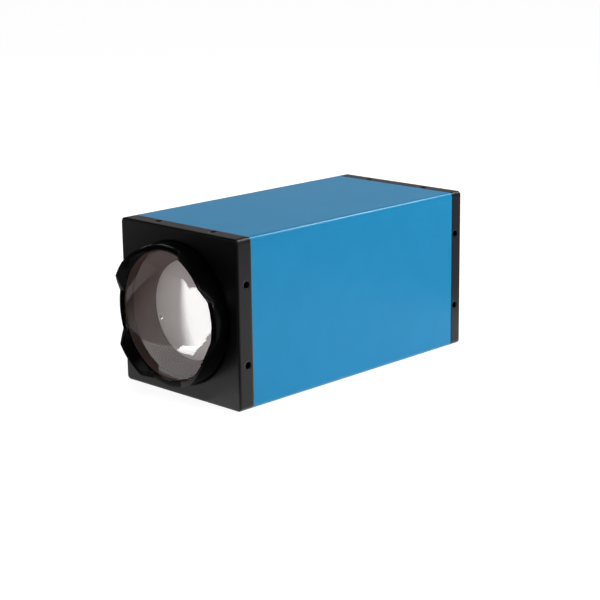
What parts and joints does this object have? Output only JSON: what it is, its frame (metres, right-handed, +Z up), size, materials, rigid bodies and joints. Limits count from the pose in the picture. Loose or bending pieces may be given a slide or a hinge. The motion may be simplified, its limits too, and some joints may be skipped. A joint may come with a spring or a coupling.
{
  "type": "machine vision camera",
  "caption": "Box-shaped industrial zoom camera: square sleeve between two plates with threaded mounting holes, a petalled lens collar in front and sockets behind.",
  "frame": {"origin": "middle of the underside, halfway along the overall length from the lens petals to the round connector", "axes": "-Y is the way the lens looks, +X is to the camera's right seen from the front, +Z is up"},
  "size_m": [0.05, 0.111, 0.05],
  "materials": {
    "black_plate": "black anodised, fine matt",
    "blue_sleeve": "satin blue",
    "steel_screw": "blackened",
    "steel": "bright",
    "lens_plastic": "moulded black",
    "spacer_satin": "satin grey-brown",
    "coated_glass": "coated",
    "inner_glass": "coated",
    "filter_glass": "blue-green tint",
    "brass_nut": "turned",
    "motor_can": "drawn can",
    "sheet_steel": "folded sheet",
    "blade_film": "blackened",
    "magnet": "sintered",
    "coil_plastic": "moulded",
    "rubber_seal": "matt",
    "chip_ceramic": "moulded package",
    "board_green": "solder mask",
    "heat_pad": "soft pad",
    "bridge_aluminium": "folded sheet",
    "ribbon_film": "polyimide film",
    "jack_metal": "tinned shell",
    "contact_gold": "gold flash",
    "connector_metal": "satin plated",
    "insulator": "moulded",
    "lamp_plastic": "clear milky"
  },
  "bodies": {
    "housing": {"front_plate": "black_plate", "sleeve": "blue_sleeve", "rear_plate": "black_plate", "tie_screws": "steel_screw", "lens_collar": "lens_plastic", "lens_screws": "steel", "front_lens": "coated_glass", "front_spacer": "spacer_satin", "second_lens": "inner_glass", "lens_chassis": "lens_plastic", "left_guide_rod": "steel", "right_guide_rod": "steel", "zoom_motor": "motor_can", "zoom_bracket": "sheet_steel", "middle_cell": "lens_plastic", "middle_lens": "inner_glass", "iris_base": "lens_plastic", "iris_coil": "coil_plastic", "focus_motor": "motor_can", "focus_bracket": "sheet_steel", "rear_barrel": "lens_plastic", "filter_coil": "coil_plastic", "sensor_seal": "rubber_seal", "sensor_glass": "inner_glass", "sensor": "chip_ceramic", "sensor_board": "board_green", "board_spacers": "steel", "board_link": "insulator", "processor_board": "board_green", "processor_chips": "chip_ceramic", "board_screws": "steel", "heat_pad": "heat_pad", "heat_bridge": "bridge_aluminium", "zoom_ribbon": "ribbon_film", "focus_ribbon": "ribbon_film", "interface_board": "board_green", "rear_link": "insulator", "network_jack": "jack_metal", "jack_contacts": "contact_gold", "io_shell": "connector_metal", "io_nut": "connector_metal", "io_insulator": "insulator", "io_pins": "contact_gold", "io_board": "board_green", "status_lamp": "lamp_plastic"},
    "zoom_group": {"zoom_carriage": "lens_plastic", "zoom_lens": "inner_glass", "zoom_nut": "brass_nut"},
    "zoom_lead_screw": {"zoom_screw": "steel"},
    "focus_group": {"focus_carriage": "lens_plastic", "focus_lens": "inner_glass", "focus_nut": "brass_nut"},
    "focus_lead_screw": {"focus_screw": "steel"},
    "iris_rotor": {"iris_lever": "lens_plastic", "iris_magnet": "magnet"},
    "iris_upper": {"iris_blade_upper": "blade_film"},
    "iris_lower": {"iris_blade_lower": "blade_film"},
    "filter_flap": {"filter_arm": "lens_plastic", "filter_glass": "filter_glass", "filter_magnet": "magnet"}
  },
  "joints": [
    {"name": "zoom_slide", "type": "slide", "parent": "housing", "child": "zoom_group", "axis": [0, 1, 0], "range_m": [0, 0.012]},
    {"name": "zoom_screw_turn", "type": "hinge", "parent": "housing", "child": "zoom_lead_screw", "pos_m": [0, -0.0275, 0.0395], "axis": [0, 1, 0], "range_deg": [-1, 4321]},
    {"name": "focus_slide", "type": "slide", "parent": "housing", "child": "focus_group", "axis": [0, 1, 0], "range_m": [0, 0.006]},
    {"name": "focus_screw_turn", "type": "hinge", "parent": "housing", "child": "focus_lead_screw", "pos_m": [0, 0.0025, 0.0105], "axis": [0, 1, 0], "range_deg": [-1, 2161]},
    {"name": "iris_turn", "type": "hinge", "parent": "housing", "child": "iris_rotor", "pos_m": [-0.00868, -0.0027, 0.03534], "axis": [0, 1, 0], "range_deg": [-30.6, 30.6]},
    {"name": "iris_upper_slide", "type": "slide", "parent": "housing", "child": "iris_upper", "axis": [0.766, 0, 0.6428], "range_m": [-0.0024, 0.0024]},
    {"name": "iris_lower_slide", "type": "slide", "parent": "housing", "child": "iris_lower", "axis": [0.766, 0, 0.6428], "range_m": [-0.0024, 0.0024]},
    {"name": "filter_swing", "type": "hinge", "parent": "housing", "child": "filter_flap", "pos_m": [0.00848, 0.015, 0.01651], "axis": [0, 1, 0], "range_deg": [0, 65]}
  ],
  "couplings": [
    {"joint": "zoom_screw_turn", "follows": "zoom_slide", "rad_per_m": 6283.2},
    {"joint": "focus_screw_turn", "follows": "focus_slide", "rad_per_m": 6283.2},
    {"joint": "iris_turn", "follows": "iris_upper_slide", "rad_per_m": 222.22},
    {"joint": "iris_lower_slide", "follows": "iris_upper_slide", "ratio": -1}
  ]
}
